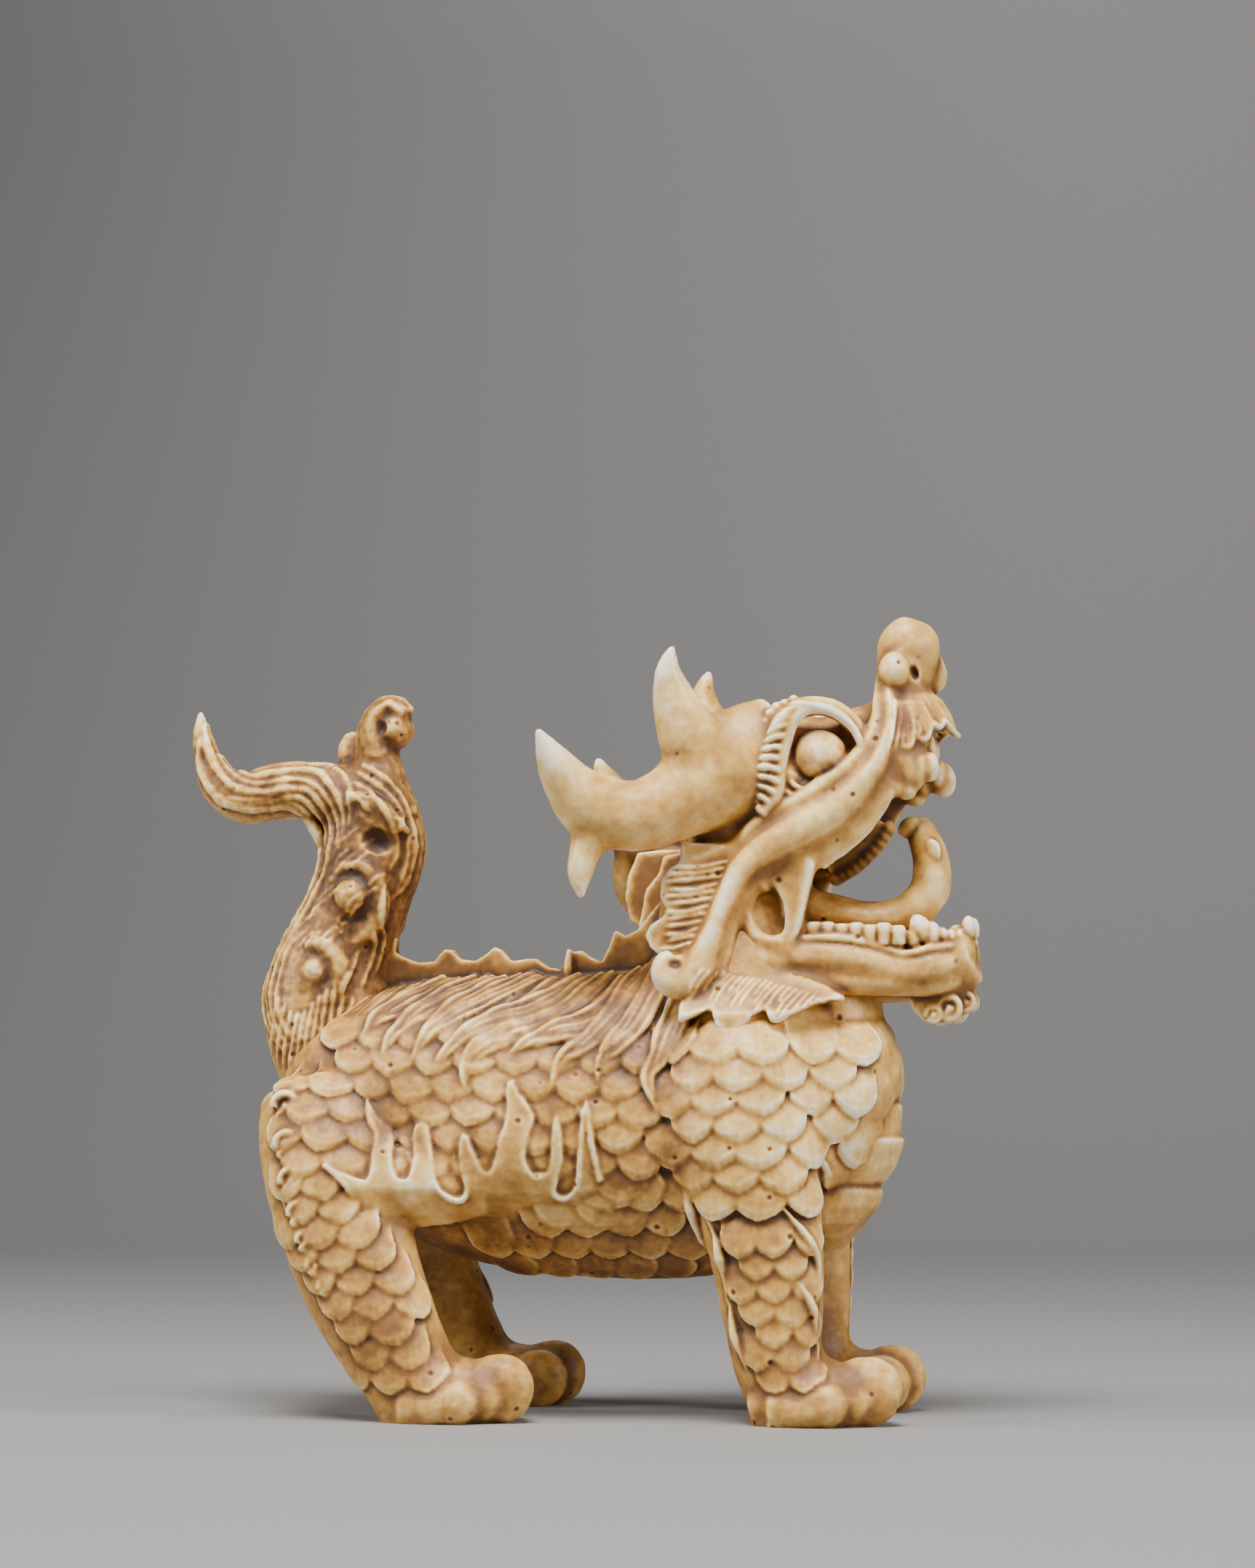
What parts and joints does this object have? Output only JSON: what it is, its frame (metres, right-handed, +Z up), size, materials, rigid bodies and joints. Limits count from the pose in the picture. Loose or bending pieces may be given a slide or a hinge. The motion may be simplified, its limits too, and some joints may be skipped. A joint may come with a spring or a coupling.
{
  "type": "horned guardian lion figurine",
  "caption": "Small cast guardian beast with branched horns, scales, an open mouth with a curled tongue and an upright forked tail, standing on flat paws.",
  "frame": {"origin": "centre of the bounding box, at the level of the soles", "axes": "+X from tail to head, +Z up, +Y towards the figure's left side, across its narrowest extent"},
  "size_m": [0.1022, 0.0424, 0.0987],
  "materials": {
    "cast_resin": "satin"
  },
  "bodies": {
    "root": {"lion_statue": "cast_resin"}
  },
  "joints": []
}
